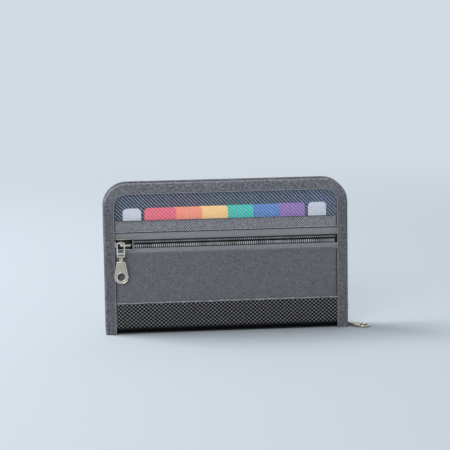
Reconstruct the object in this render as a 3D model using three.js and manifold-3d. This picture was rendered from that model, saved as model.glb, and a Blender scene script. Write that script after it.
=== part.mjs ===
// Pocket-size expanding file folder: two fabric covers closed by a zip round three sides,
// a woven base, a window over coloured index tabs, and a zipped pocket on the front.
// Millimetres. X runs along the zip pocket, the front faces -Y, +Z is up.
// The origin is the middle of the underside of the woven base.
import * as THREE from 'three';
import { mergeVertices } from 'three/addons/utils/BufferGeometryUtils.js';
import Module from 'manifold-3d';

const wasm = await Module();
wasm.setup();

// Overall outline of the closed folder
const width = 185;
const height = 115;
const cornerRadius = 18;
const frontFace = -8;
const backFace = 8;

// Edge binding, a folded tape round the left, top and right edge of each cover
const bindingWidth = 8;
const bindingTape = 0.5;
const frontBindingDepth = 4.65;
const backBindingDepth = 2.7;

// Plies that lie in the binding
const ply = 0.5;
const plyGap = 0.15;
const edgeClearance = 0.4;

// Front cover, from the base up
const baseHeight = 23.6;
const pocketTop = 62;
const zipOpening = 16.1;
const bandWidth = 8.4;
const windowRibPitch = 2.8;
const windowRibWidth = 0.6;
const windowRibHeight = 0.25;

// Woven base
const baseWall = 0.5;
const baseBend = 4;
const baseEndInset = 3.3;
const weaveColumn = 1.62;
const weaveRow = 1.4;
const weaveRelief = 0.22;
const backRibPitch = 2.8;
const spineBoard = 0.8;

// Zip chain, the same on the pocket and round the edge
const tape = 0.4;
const coilHeight = 1.5;
const coilValley = 0.6;
const coilRow = 2.55;
const chainSlot = 1.1;
const pocketToothPitch = 1.5;
const edgeToothPitch = 3;
const chainAbovePocket = 7.3;
const tapeHem = 4;
const edgeTapeInset = 5.7;

// Slider, link and pull
const sliderLength = 13.7;
const sliderHalfWidth = 4.1;
const sliderPlate = 1;
const sliderBack = 0.75;
const sliderLip = 0.7;
const runningGap = 0.3;
const neckThickness = 0.5;
const bridgeWidth = 1.4;
const bridgeBar = 0.85;
const bridgeRise = 3.4;
const bridgeLeg = 0.9;
const headLegAt = -2.75;
const rearLegAt = 4.55;
const linkThickness = 0.9;
const linkLevel = 2.15;
const linkDrop = 8.9;
const linkTopHalf = 3.3;
const linkFootHalf = 2.8;
const linkStrip = 0.85;
const linkTopBar = 0.9;
const rodRadius = 0.45;
const eyeBore = 0.95;
const eyeRadius = 1.55;
const eyeHalf = 1.45;
const pullThickness = 1;
const pullTopHalf = 3.4;
const pullShoulder = 3.7;
const pullRingAt = 15.4;
const pullRingRadius = 5.25;
const pullHoleRadius = 2.95;

// Where the links hang
const edgeLinkYaw = 25;
const edgePullYaw = 10;
const footGap = 0.05;

// Accordion file behind the window
const leafCount = 8;
const leafPitch = 1;
const leafThickness = 0.3;
const leafBelowBand = 2;
const leafClearance = 0.3;
const bellowsClearance = 1.5;
const bellowsDepth = 5;
const bellowsSheet = 0.12;
const tabThickness = 0.25;
const tabLap = 4;
const tabShown = 9.1;
const tabWidth = 23.9;
const tabSpacing = 2.575;
const tabRadius = 3;
const clearTabWidth = 13.8;

// Places worked out from the sizes above
const half = width / 2;
const bandBottom = pocketTop + zipOpening;
const bandTop = bandBottom + bandWidth;
const pocketChainZ = pocketTop + chainAbovePocket;
const leafTop = bandTop - leafBelowBand;
const tabFoot = leafTop - tabLap;
const tabTop = bandTop + tabShown;
const bellowsOuter = half - bindingWidth - bellowsClearance;
const bellowsInner = bellowsOuter - bellowsDepth;
const leafHalfWidth = bellowsInner - leafClearance;
const clearTabX = leafHalfWidth - clearTabWidth / 2;
const outerTabX = leafHalfWidth - clearTabWidth - tabSpacing - tabWidth / 2;
const tabPitch = 2 * outerTabX / (leafCount - 3);
const frontPly = frontFace + bindingTape + plyGap;
const frontCloth = frontPly + ply + plyGap;
const pocketTapeFace = frontCloth + ply + plyGap;
const frontInner = frontFace + frontBindingDepth;
const backInner = backFace - backBindingDepth;
const backPly = backFace - bindingTape - plyGap;
const edgeChainY = (frontInner + backInner) / 2;
const edgeTapeX = half - edgeTapeInset;
const rowFrom = chainSlot / 2;
const rowTo = rowFrom + coilRow;
const panelHalf = half - bindingTape - edgeClearance;
const openHalf = half - bindingWidth - plyGap;
const pocketSliderX = -openHalf + plyGap + sliderLength / 2;
const plateFoot = coilHeight + runningGap;
const plateTop = plateFoot + sliderPlate;
const linkPlane = plateTop + linkLevel;

const finishes = {
  binding: new THREE.MeshStandardMaterial({ color: '#63656b', roughness: 0.85, metalness: 0 }),
  cloth: new THREE.MeshStandardMaterial({ color: '#69686f', roughness: 0.9, metalness: 0 }),
  weave: new THREE.MeshStandardMaterial({ color: '#2a2b2e', roughness: 0.8, metalness: 0 }),
  lining: new THREE.MeshStandardMaterial({ color: '#3c4048', roughness: 0.8, metalness: 0 }),
  film: new THREE.MeshStandardMaterial({ color: '#8fa2b8', roughness: 0.35, metalness: 0 }),
  tape: new THREE.MeshStandardMaterial({ color: '#808084', roughness: 0.85, metalness: 0 }),
  coil: new THREE.MeshStandardMaterial({ color: '#6e7078', roughness: 0.5, metalness: 0 }),
  nickel: new THREE.MeshStandardMaterial({ color: '#b0aea6', roughness: 0.35, metalness: 1 }),
  board: new THREE.MeshStandardMaterial({ color: '#4a4a4c', roughness: 0.8, metalness: 0 }),
  leaf: new THREE.MeshStandardMaterial({ color: '#3f5c78', roughness: 0.4, metalness: 0 }),
};
const tabColours = ['#c8ccd8', '#e8586e', '#fa9070', '#f8c884', '#48bcb0', '#4c7cc0', '#9068b4', '#c8ccd8'];
const tabNames = ['clear_tab_left', 'red_tab', 'orange_tab', 'yellow_tab', 'green_tab', 'blue_tab',
  'purple_tab', 'clear_tab_right'];

const folder = new THREE.Group();

// Adds one named piece to a group
function place(name, geometry, material, parent = folder) {
  const mesh = new THREE.Mesh(geometry, material);
  mesh.name = name;
  parent.add(mesh);
  return mesh;
}

// A closed geometry as a solid that can be joined and cut
function solid(geometry) {
  const bare = geometry.index ? geometry.toNonIndexed() : geometry.clone();
  bare.deleteAttribute('normal');
  bare.deleteAttribute('uv');
  const merged = mergeVertices(bare, 1e-5);
  return new wasm.Manifold(new wasm.Mesh({
    numProp: 3,
    vertProperties: new Float32Array(merged.attributes.position.array),
    triVerts: new Uint32Array(merged.index.array),
  }));
}

// A solid back as a geometry
function shell(body) {
  const mesh = body.getMesh();
  const geometry = new THREE.BufferGeometry();
  geometry.setAttribute('position', new THREE.BufferAttribute(new Float32Array(mesh.vertProperties), 3));
  geometry.setIndex(new THREE.BufferAttribute(new Uint32Array(mesh.triVerts), 1));
  geometry.computeVertexNormals();
  return geometry;
}

function shapeOf(points) {
  return new THREE.Shape(points.map(([a, b]) => new THREE.Vector2(a, b)));
}

// Extrusions of a flat outline along each axis
function alongZ(shape, from, to, curveSegments = 12) {
  return new THREE.ExtrudeGeometry(shape, { depth: to - from, bevelEnabled: false, curveSegments })
    .translate(0, 0, from);
}

// The outline is given in X and Z
function alongY(shape, from, to, curveSegments = 12) {
  return new THREE.ExtrudeGeometry(shape, { depth: to - from, bevelEnabled: false, curveSegments })
    .rotateX(Math.PI / 2)
    .translate(0, to, 0);
}

// The outline is given in Y and Z
function alongX(shape, from, to, curveSegments = 12) {
  const turn = new THREE.Matrix4().makeBasis(
    new THREE.Vector3(0, 1, 0), new THREE.Vector3(0, 0, 1), new THREE.Vector3(1, 0, 0));
  return new THREE.ExtrudeGeometry(shape, { depth: to - from, bevelEnabled: false, curveSegments })
    .applyMatrix4(turn)
    .translate(from, 0, 0);
}

function box(x0, x1, y0, y1, z0, z1) {
  return new THREE.BoxGeometry(x1 - x0, y1 - y0, z1 - z0)
    .translate((x0 + x1) / 2, (y0 + y1) / 2, (z0 + z1) / 2);
}

// The arch that runs up the left edge, over the rounded corners and down the right edge,
// at a distance inside the outline, from one foot to the other
function archLine(inset, foot, arcSteps = 8) {
  const x = half - inset;
  const top = height - inset;
  const radius = Math.max(cornerRadius - inset, 1);
  const points = [[-x, foot]];
  for (let i = 0; i <= arcSteps; i++) {
    const turn = (i / arcSteps) * Math.PI / 2;
    points.push([-x + radius - radius * Math.cos(turn), top - radius + radius * Math.sin(turn)]);
  }
  for (let i = 0; i <= arcSteps; i++) {
    const turn = (i / arcSteps) * Math.PI / 2;
    points.push([x - radius + radius * Math.sin(turn), top - radius + radius * Math.cos(turn)]);
  }
  points.push([x, foot]);
  return points;
}

// The whole face inside the arch
function archPanel(inset, foot) {
  return shapeOf(archLine(inset, foot));
}

// The strip between two arches
function archStrip(outerInset, innerInset, foot) {
  return shapeOf([...archLine(outerInset, foot), ...archLine(innerInset, foot).reverse()]);
}

// A tape folded round the edge of a cover: an outer and an inner flange and the wall that joins them.
// The inner flange stops above the woven base.
function binding(outerFace, innerFace) {
  const low = Math.min(outerFace, innerFace);
  const high = Math.max(outerFace, innerFace);
  const inward = Math.sign(innerFace - outerFace);
  const channel = [outerFace + inward * bindingTape, innerFace - inward * bindingTape];
  const baseTop = baseWall + spineBoard + 3 * plyGap;
  const strip = solid(alongY(archStrip(0, bindingWidth, 0), low, high));
  const fold = solid(alongY(archStrip(bindingTape, bindingWidth + 1, -1), Math.min(...channel), Math.max(...channel)));
  const relief = [innerFace - inward * bindingTape * 1.5, innerFace + inward];
  const foot = solid(box(-half + bindingTape, half - bindingTape,
    Math.min(...relief), Math.max(...relief), -1, baseTop));
  return shell(strip.subtract(fold).subtract(foot));
}

// Diagonal ribs over the window, cut to its opening
function windowFilm() {
  const face = solid(alongY(archPanel(bindingTape + edgeClearance, baseBend), frontCloth, frontCloth + ply));
  const film = face.intersect(solid(box(-half, half, frontCloth - 1, frontCloth + ply + 1, bandTop, height)));
  const opening = solid(box(-openHalf, openHalf, frontCloth - 1, frontCloth + ply, bandTop, height - bindingWidth - plyGap));
  const rise = height - bandTop;
  const count = Math.floor((2 * openHalf + rise) / windowRibPitch);
  const ribs = [];
  for (let i = 0; i < count; i++) {
    const start = -openHalf - rise + (i + 0.5) * windowRibPitch;
    const rib = shapeOf([
      [start, height], [start + rise, bandTop],
      [start + rise + windowRibWidth, bandTop], [start + windowRibWidth, height]]);
    ribs.push(solid(alongY(rib, frontCloth - windowRibHeight, frontCloth + ply / 2)));
  }
  return shell(film.add(wasm.Manifold.union(ribs).intersect(opening)));
}

// The woven face: a slab whose surface rises at every other crossing of the threads
function weaveSlab() {
  const columns = 2 * Math.floor(openHalf / weaveColumn);
  const rows = Math.floor((baseHeight - baseBend) / weaveRow);
  const left = -columns * weaveColumn / 2;
  const foot = baseHeight - rows * weaveRow;
  const sunk = frontPly + baseWall / 2;
  const positions = [];
  const index = [];
  for (let r = 0; r <= rows; r++) {
    for (let c = 0; c <= columns; c++) {
      const rim = r === 0 || r === rows || c === 0 || c === columns;
      const raised = !rim && (r + c) % 2 === 0;
      positions.push(left + c * weaveColumn, frontPly - (raised ? weaveRelief : 0), foot + r * weaveRow);
    }
  }
  const at = (r, c) => r * (columns + 1) + c;
  for (let r = 0; r < rows; r++) {
    for (let c = 0; c < columns; c++) {
      const [a, b, d, e] = [at(r, c), at(r, c + 1), at(r + 1, c + 1), at(r + 1, c)];
      if ((r + c) % 2 === 0) index.push(a, b, d, a, d, e);
      else index.push(a, b, e, b, d, e);
    }
  }
  const rim = [];
  for (let c = 0; c < columns; c++) rim.push(at(0, c));
  for (let r = 0; r < rows; r++) rim.push(at(r, columns));
  for (let c = columns; c > 0; c--) rim.push(at(rows, c));
  for (let r = rows; r > 0; r--) rim.push(at(r, 0));
  const firstSunk = positions.length / 3;
  for (const vertex of rim) {
    positions.push(positions[3 * vertex], sunk, positions[3 * vertex + 2]);
  }
  const middle = positions.length / 3;
  positions.push(0, sunk, foot + rows * weaveRow / 2);
  for (let i = 0; i < rim.length; i++) {
    const next = (i + 1) % rim.length;
    index.push(rim[i], firstSunk + i, rim[next], rim[next], firstSunk + i, firstSunk + next);
    index.push(middle, firstSunk + next, firstSunk + i);
  }
  const slab = new THREE.BufferGeometry();
  slab.setAttribute('position', new THREE.Float32BufferAttribute(positions, 3));
  slab.setIndex(index);
  return slab;
}

// One woven strip folded under the folder: front wall, base and ribbed back wall
function wovenBase() {
  const front = frontPly;
  const back = backPly;
  const corner = (cy, radius, from) => {
    const points = [];
    for (let i = 0; i <= 5; i++) {
      const turn = from + (i / 5) * Math.PI / 2;
      points.push([cy + radius * Math.cos(turn), baseBend + radius * Math.sin(turn)]);
    }
    return points;
  };
  const ribs = [];
  const ribCount = Math.floor((baseHeight - baseBend) / backRibPitch);
  for (let i = 0; i < ribCount; i++) {
    const z = baseBend + i * backRibPitch;
    const rib = shapeOf([
      [back - baseWall / 2, z + 0.1 * backRibPitch], [back, z + 0.1 * backRibPitch],
      [back + weaveRelief, z + 0.4 * backRibPitch], [back + weaveRelief, z + 0.6 * backRibPitch],
      [back, z + 0.9 * backRibPitch], [back - baseWall / 2, z + 0.9 * backRibPitch]]);
    ribs.push(solid(alongX(rib, -openHalf, openHalf)));
  }
  const outline = [
    [front, baseHeight],
    ...corner(front + baseBend, baseBend, Math.PI),
    ...corner(back - baseBend, baseBend, 1.5 * Math.PI),
    [back, baseHeight],
    [back - baseWall, baseHeight],
    ...corner(back - baseBend, baseBend - baseWall, 1.5 * Math.PI).reverse(),
    ...corner(front + baseBend, baseBend - baseWall, Math.PI).reverse(),
    [front + baseWall, baseHeight],
  ];
  const strip = solid(alongX(shapeOf(outline), -half + baseEndInset, half - baseEndInset));
  return shell(strip.add(solid(weaveSlab())).add(wasm.Manifold.union(ribs)));
}

// A straight row of coil turns, ridged on its face
function pocketCoil(zFrom, zTo) {
  const count = Math.floor(2 * openHalf / pocketToothPitch);
  const start = -count * pocketToothPitch / 2;
  const crest = pocketTapeFace - coilHeight;
  const valley = crest + coilValley;
  const outline = [[start, pocketTapeFace]];
  for (let i = 0; i < count; i++) {
    const x = start + i * pocketToothPitch;
    outline.push([x, valley], [x + 0.3 * pocketToothPitch, crest], [x + 0.7 * pocketToothPitch, crest]);
  }
  outline.push([-start, valley], [-start, pocketTapeFace]);
  return alongZ(shapeOf(outline), zFrom, zTo);
}

// A row of coil turns that follows the edge of the folder
function edgeCoil(yFrom, yTo) {
  const foot = 2;
  const straight = height - cornerRadius - foot;
  const radius = cornerRadius - edgeTapeInset;
  const arc = radius * Math.PI / 2;
  const across = width - 2 * cornerRadius;
  const length = 2 * straight + 2 * arc + across;
  // The place and the outward direction at a distance along the edge, from the left foot
  const along = (s) => {
    const left = -half + edgeTapeInset;
    const top = height - edgeTapeInset;
    if (s < straight) return [left, foot + s, -1, 0];
    if (s < straight + arc) {
      const turn = (s - straight) / radius;
      return [left + radius - radius * Math.cos(turn), top - radius + radius * Math.sin(turn),
        -Math.cos(turn), Math.sin(turn)];
    }
    if (s < straight + arc + across) return [left + radius + s - straight - arc, top, 0, 1];
    const [x, z, outX, outZ] = along(length - s);
    return [-x, z, -outX, outZ];
  };
  const count = Math.floor(length / edgeToothPitch);
  const pitch = length / count;
  const outline = [];
  for (let i = 0; i <= 2 * count; i++) {
    const [x, z, outX, outZ] = along(i * pitch / 2);
    const lift = i % 2 ? coilHeight : coilHeight - coilValley;
    outline.push([x + outX * lift, z + outZ * lift]);
  }
  outline.push(...archLine(edgeTapeInset, foot).reverse());
  return alongY(shapeOf(outline), yFrom, yTo);
}

// A slider in its own frame: X away from its head, Y across the chain, Z out of the tape's face
function sliderBody() {
  const head = -sliderLength / 2;
  const rear = sliderLength / 2;
  const outline = (halfWidth) => shapeOf([
    [head, -0.5 * halfWidth], [head + 1.6, -halfWidth], [rear - 3, -halfWidth], [rear, -0.88 * halfWidth],
    [rear, 0.88 * halfWidth], [rear - 3, halfWidth], [head + 1.6, halfWidth], [head, 0.5 * halfWidth]]);
  const backFoot = -tape - runningGap - sliderBack;
  const top = solid(alongZ(outline(sliderHalfWidth), runningGap, plateTop));
  const bore = solid(box(head - 1, rear + 1, -sliderHalfWidth + sliderLip, sliderHalfWidth - sliderLip, 0, plateFoot));
  const back = solid(alongZ(outline(sliderHalfWidth), backFoot, backFoot + sliderBack));
  const neck = solid(box(head + 0.5, head + 3.5, -neckThickness / 2, neckThickness / 2, backFoot + 0.2, plateTop - 0.2));
  const bridgeTop = plateTop + bridgeRise + bridgeBar;
  const from = headLegAt - bridgeLeg / 2;
  const to = rearLegAt + bridgeLeg / 2;
  const arch = shapeOf([
    [from, plateTop - 0.2], [from, bridgeTop - 0.9], [from + 0.5, bridgeTop - 0.2], [from + 1.4, bridgeTop],
    [to - 1.4, bridgeTop], [to - 0.5, bridgeTop - 0.2], [to, bridgeTop - 0.9], [to, plateTop - 0.2],
    [to - bridgeLeg, plateTop - 0.2], [to - bridgeLeg, bridgeTop - bridgeBar],
    [from + bridgeLeg, bridgeTop - bridgeBar], [from + bridgeLeg, plateTop - 0.2]]);
  const bridge = solid(alongY(arch, -bridgeWidth / 2, bridgeWidth / 2));
  return shell(top.subtract(bore).add(back).add(neck).add(bridge));
}

// The link in its own frame: it hangs down -Y from the bridge leg at the origin and its face is Z
function link() {
  const windowTop = bridgeWidth / 2 + runningGap;
  const top = windowTop + linkTopBar;
  const slotTop = -linkDrop + eyeRadius + runningGap;
  const windowFoot = slotTop + 1;
  const foot = -linkDrop - 0.3;
  const lowInner = linkFootHalf - linkStrip + 0.15;
  const outer = solid(alongZ(shapeOf([
    [-linkFootHalf, foot], [linkFootHalf, foot], [linkTopHalf, top - 0.8], [linkTopHalf - 0.8, top],
    [-linkTopHalf + 0.8, top], [-linkTopHalf, top - 0.8]]), -linkThickness / 2, linkThickness / 2));
  const upper = solid(alongZ(shapeOf([
    [-lowInner, windowFoot], [lowInner, windowFoot], [linkTopHalf - linkStrip, windowTop],
    [-linkTopHalf + linkStrip, windowTop]]), -linkThickness, linkThickness));
  const slot = solid(box(-lowInner, lowInner, foot - 1, slotTop, -linkThickness, linkThickness));
  const rod = solid(new THREE.CylinderGeometry(rodRadius, rodRadius, 2 * linkFootHalf - 0.4, 10)
    .rotateZ(Math.PI / 2).translate(0, -linkDrop, 0));
  return shell(outer.subtract(upper).subtract(slot).add(rod));
}

// The pull in its own frame: its eye is round the origin along X and its plate hangs down -Y
function pull() {
  const eye = solid(new THREE.CylinderGeometry(eyeRadius, eyeRadius, 2 * eyeHalf, 16).rotateZ(Math.PI / 2));
  const bore = solid(new THREE.CylinderGeometry(eyeBore, eyeBore, 2 * eyeHalf + 2, 12).rotateZ(Math.PI / 2));
  const neck = solid(box(-eyeHalf, eyeHalf, -pullShoulder - 1, -eyeBore, -pullThickness / 2, pullThickness / 2));
  const plate = new THREE.Shape();
  plate.moveTo(-pullTopHalf + 0.8, -pullShoulder);
  plate.lineTo(-pullTopHalf, -pullShoulder - 0.8);
  plate.lineTo(-pullRingRadius, -pullRingAt + 0.6);
  plate.absarc(0, -pullRingAt, pullRingRadius, Math.PI, 2 * Math.PI, false);
  plate.lineTo(pullRingRadius, -pullRingAt + 0.6);
  plate.lineTo(pullTopHalf, -pullShoulder - 0.8);
  plate.lineTo(pullTopHalf - 0.8, -pullShoulder);
  const hole = new THREE.Path();
  hole.absarc(0, -pullRingAt, pullHoleRadius, 0, 2 * Math.PI, true);
  plate.holes.push(hole);
  const body = solid(alongZ(plate, -pullThickness / 2, pullThickness / 2, 20));
  return shell(eye.add(neck).add(body).subtract(bore));
}

// A group whose own axes are given in the folder's frame
function frameAt(origin, xAxis, yAxis) {
  const zAxis = new THREE.Vector3().crossVectors(xAxis, yAxis);
  const group = new THREE.Group();
  group.applyMatrix4(new THREE.Matrix4().makeBasis(xAxis, yAxis, zAxis).setPosition(origin));
  folder.add(group);
  return group;
}

function buildFrontCover() {
  place('front_binding', binding(frontFace, frontInner), finishes.binding);
  place('window_film', windowFilm(), finishes.film);
  place('window_band', box(-panelHalf, panelHalf, frontCloth, frontCloth + ply, bandBottom, bandTop - plyGap),
    finishes.cloth);
  place('pocket_panel', box(-panelHalf, panelHalf, frontCloth, frontCloth + ply, baseBend, pocketTop),
    finishes.cloth);
  const liningFace = frontInner - bindingTape - plyGap - tape;
  const lining = alongY(archStrip(bindingTape + edgeClearance, bindingWidth, baseBend), liningFace, liningFace + tape);
  const pocketBack = box(-panelHalf, panelHalf, liningFace, liningFace + tape, baseBend, bandTop);
  place('front_lining', shell(solid(lining).add(solid(pocketBack))), finishes.lining);
}

function buildBackCover() {
  place('back_binding', binding(backFace, backInner), finishes.binding);
  const cloth = backPly - baseWall - plyGap;
  place('back_panel', alongY(archPanel(bindingTape + edgeClearance, baseBend), cloth - ply, cloth), finishes.cloth);
  const lining = backInner + bindingTape + plyGap;
  place('back_lining', alongY(archPanel(bindingTape + edgeClearance, baseBend), lining, lining + ply / 2),
    finishes.lining);
}

function buildBase() {
  place('woven_base', wovenBase(), finishes.weave);
  const boardHalf = half - bindingWidth;
  place('spine_board', box(-boardHalf, boardHalf, frontPly + baseBend, backPly - baseBend, baseWall + plyGap,
    baseWall + plyGap + spineBoard), finishes.board);
}

function buildPocketZip() {
  const back = pocketTapeFace + tape;
  const upperEdge = bandBottom + tapeHem;
  const lowerEdge = pocketTop - tapeHem;
  place('pocket_tape_upper', box(-panelHalf, panelHalf, pocketTapeFace, back, pocketChainZ + rowFrom, upperEdge),
    finishes.tape);
  place('pocket_tape_lower', box(-panelHalf, panelHalf, pocketTapeFace, back, lowerEdge, pocketChainZ - rowFrom),
    finishes.tape);
  place('pocket_coil_upper', pocketCoil(pocketChainZ + rowFrom, pocketChainZ + rowTo), finishes.coil);
  place('pocket_coil_lower', pocketCoil(pocketChainZ - rowTo, pocketChainZ - rowFrom), finishes.coil);
}

function buildEdgeZip() {
  const strip = archStrip(edgeTapeInset, edgeTapeInset + tape, 2);
  place('edge_tape_front', alongY(strip, frontInner + plyGap, edgeChainY - rowFrom), finishes.tape);
  place('edge_tape_back', alongY(strip, edgeChainY + rowFrom, backInner - plyGap), finishes.tape);
  place('edge_coil_front', edgeCoil(edgeChainY - rowTo, edgeChainY - rowFrom), finishes.coil);
  place('edge_coil_back', edgeCoil(edgeChainY + rowFrom, edgeChainY + rowTo), finishes.coil);
}

// A sheet folded to and fro, as an outline: its folds lie at the leaves and open between them
function foldedSheet(inner, outer, swap) {
  const first = frontInner + 0.05;
  const depth = Math.abs(outer - inner);
  const slant = bellowsSheet * Math.hypot(depth, leafPitch / 2) / (leafPitch / 2) * Math.sign(outer - inner);
  const outside = [];
  const inside = [];
  for (let i = 0; i < leafCount; i++) {
    const leaf = first + (i + 0.5) * leafPitch;
    outside.push([outer, leaf - leafPitch / 2], [inner + slant, leaf]);
    inside.push([outer - slant, leaf - leafPitch / 2], [inner, leaf]);
  }
  outside.push([outer, first + leafCount * leafPitch]);
  inside.push([outer - slant, first + leafCount * leafPitch]);
  const outline = [...outside, ...inside.reverse()];
  return shapeOf(swap ? outline.map(([a, b]) => [b, a]) : outline);
}

function buildAccordion() {
  const floor = baseWall + spineBoard + 2 * plyGap + 0.4;
  place('bellows_left', alongZ(foldedSheet(-bellowsInner, -bellowsOuter, false), floor, leafTop), finishes.leaf);
  place('bellows_right', alongZ(foldedSheet(bellowsInner, bellowsOuter, false), floor, leafTop), finishes.leaf);
  place('bellows_floor', alongX(foldedSheet(floor + 1.6, floor, true), -leafHalfWidth, leafHalfWidth), finishes.leaf);
  for (let i = 0; i < leafCount; i++) {
    const face = frontInner + 0.05 + (i + 0.5) * leafPitch - leafThickness / 2;
    place(`divider_${i + 1}`, box(-leafHalfWidth, leafHalfWidth, face, face + leafThickness, floor + 2, leafTop),
      finishes.leaf);
    const clear = i === 0 || i === leafCount - 1;
    const wide = clear ? clearTabWidth : tabWidth;
    const middle = clear ? Math.sign(i - 1) * clearTabX : (i - (leafCount - 1) / 2) * tabPitch;
    const outline = new THREE.Shape();
    outline.moveTo(middle - wide / 2, tabFoot);
    outline.lineTo(middle + wide / 2, tabFoot);
    outline.lineTo(middle + wide / 2, tabTop - tabRadius);
    outline.absarc(middle + wide / 2 - tabRadius, tabTop - tabRadius, tabRadius, 0, Math.PI / 2, false);
    outline.absarc(middle - wide / 2 + tabRadius, tabTop - tabRadius, tabRadius, Math.PI / 2, Math.PI, false);
    const colour = new THREE.MeshStandardMaterial({ color: tabColours[i], roughness: 0.45, metalness: 0 });
    place(tabNames[i], alongY(outline, face - tabThickness - 0.05, face - 0.05, 5), colour);
  }
}

function buildPocketSlider() {
  const across = new THREE.Vector3(1, 0, 0);
  const up = new THREE.Vector3(0, 0, 1);
  const body = frameAt(new THREE.Vector3(pocketSliderX, pocketTapeFace, pocketChainZ), across, up);
  place('pocket_slider', sliderBody(), finishes.nickel, body);
  const hung = frameAt(new THREE.Vector3(pocketSliderX + headLegAt, pocketTapeFace - linkPlane, pocketChainZ), across, up);
  place('pocket_link', link(), finishes.nickel, hung);
  const pulled = place('pocket_pull', pull(), finishes.nickel, hung);
  pulled.position.set(0, -linkDrop, 0);
}

// The edge zip is closed at the foot of the right side, so its pull lies out on the surface
function buildEdgeSlider() {
  const knee = baseWall + runningGap + eyeRadius;
  const hang = knee + linkDrop;
  const legTop = hang + bridgeWidth / 2;
  const sliderZ = legTop - bridgeLeg / 2 - headLegAt;
  const up = new THREE.Vector3(0, 0, 1);
  const body = frameAt(new THREE.Vector3(edgeTapeX, edgeChainY, sliderZ), up, new THREE.Vector3(0, -1, 0));
  place('edge_slider', sliderBody(), finishes.nickel, body);
  const yaw = THREE.MathUtils.degToRad(edgeLinkYaw);
  const across = new THREE.Vector3(Math.sin(yaw), Math.cos(yaw), 0);
  const hung = frameAt(new THREE.Vector3(edgeTapeX + linkPlane, edgeChainY, hang), across, up);
  place('edge_link', link(), finishes.nickel, hung);
  const slope = Math.asin((knee - footGap - pullThickness / 2) / (pullRingAt + pullRingRadius));
  const lifted = new THREE.Group();
  lifted.position.set(0, -linkDrop, 0);
  lifted.rotation.set(slope - Math.PI / 2, 0, 0);
  hung.add(lifted);
  const pulled = place('edge_pull', pull(), finishes.nickel, lifted);
  pulled.rotation.set(0, 0, -THREE.MathUtils.degToRad(edgePullYaw));
}

buildFrontCover();
buildBackCover();
buildBase();
buildPocketZip();
buildEdgeZip();
buildAccordion();
buildPocketSlider();
buildEdgeSlider();

export default folder;
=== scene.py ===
"""Dresses the pocket-size expanding file folder that stands closed on its woven base.

Sizes are in millimetres in every class and become metres where a mesh, camera or lamp is made. X runs
along the zip pocket, the front faces -Y and +Z is up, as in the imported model.
"""

from __future__ import annotations

import logging
import math
from collections.abc import Callable, Sequence
from dataclasses import dataclass, field
from enum import Enum
from typing import TypeAlias

import bmesh
import bpy
import numpy as np
from mathutils import Matrix

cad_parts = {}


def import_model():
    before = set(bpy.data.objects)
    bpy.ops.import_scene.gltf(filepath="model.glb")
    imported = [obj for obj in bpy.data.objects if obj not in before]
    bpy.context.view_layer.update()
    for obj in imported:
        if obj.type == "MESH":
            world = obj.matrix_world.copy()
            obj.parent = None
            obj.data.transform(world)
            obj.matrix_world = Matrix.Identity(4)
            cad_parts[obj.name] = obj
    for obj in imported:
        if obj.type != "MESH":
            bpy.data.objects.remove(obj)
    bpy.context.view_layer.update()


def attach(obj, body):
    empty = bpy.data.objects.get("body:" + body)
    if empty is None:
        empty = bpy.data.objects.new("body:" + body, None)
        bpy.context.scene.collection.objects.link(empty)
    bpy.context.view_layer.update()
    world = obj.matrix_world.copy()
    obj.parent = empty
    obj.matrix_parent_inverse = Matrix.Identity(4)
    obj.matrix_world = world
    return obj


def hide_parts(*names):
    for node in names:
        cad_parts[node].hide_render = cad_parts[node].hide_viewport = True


LOG = logging.getLogger("folder")
MM = 0.001
OPENING = 84.3  # half the width between the side bindings
POCKET_SLIDER = (-77.35, -8.85, 69.3)  # the middle of its face
POCKET_EYE = (-80.1, -11.0, 60.4)  # where the pocket zip's pull hangs
EDGE_EYE = (91.75, 0.975, 2.35)  # where the edge zip's pull hangs
X_AXIS, Y_AXIS, Z_AXIS = np.eye(3)
Number: TypeAlias = "Wire | float"


def tint(code: str) -> tuple[float, float, float, float]:
    """Turns a written colour into the linear values that a shader takes.

    Each channel c of the code is c / 12.92 below 0.04045, else ((c + 0.055) / 1.055) to the power 2.4.

    Args:
        code: six hexadecimal digits, such as "8090a0".

    Returns:
        Red, green, blue and a full alpha.
    """
    channels = np.array([int(code[i : i + 2], 16) / 255 for i in (0, 2, 4)])
    linear = np.where(channels <= 0.04045, channels / 12.92, ((channels + 0.055) / 1.055) ** 2.4)
    return (*(float(c) for c in linear), 1.0)


# Shader arithmetic ---------------------------------------------------------------------------------


def arithmetic(operation: str, swapped: bool = False) -> Callable[..., Wire]:
    """Makes a method of Wire that adds a Math node.

    Args:
        operation: what the node does.
        swapped: puts the wire after the other value.

    Returns:
        The method, which takes the other value where the operation has one.
    """

    def method(wire: Wire, *others: Number) -> Wire:
        """The node's result."""
        values = (*others, wire) if swapped else (wire, *others)
        return wire.paint.node("ShaderNodeMath", {"operation": operation}, dict(enumerate(values)))

    return method


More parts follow.
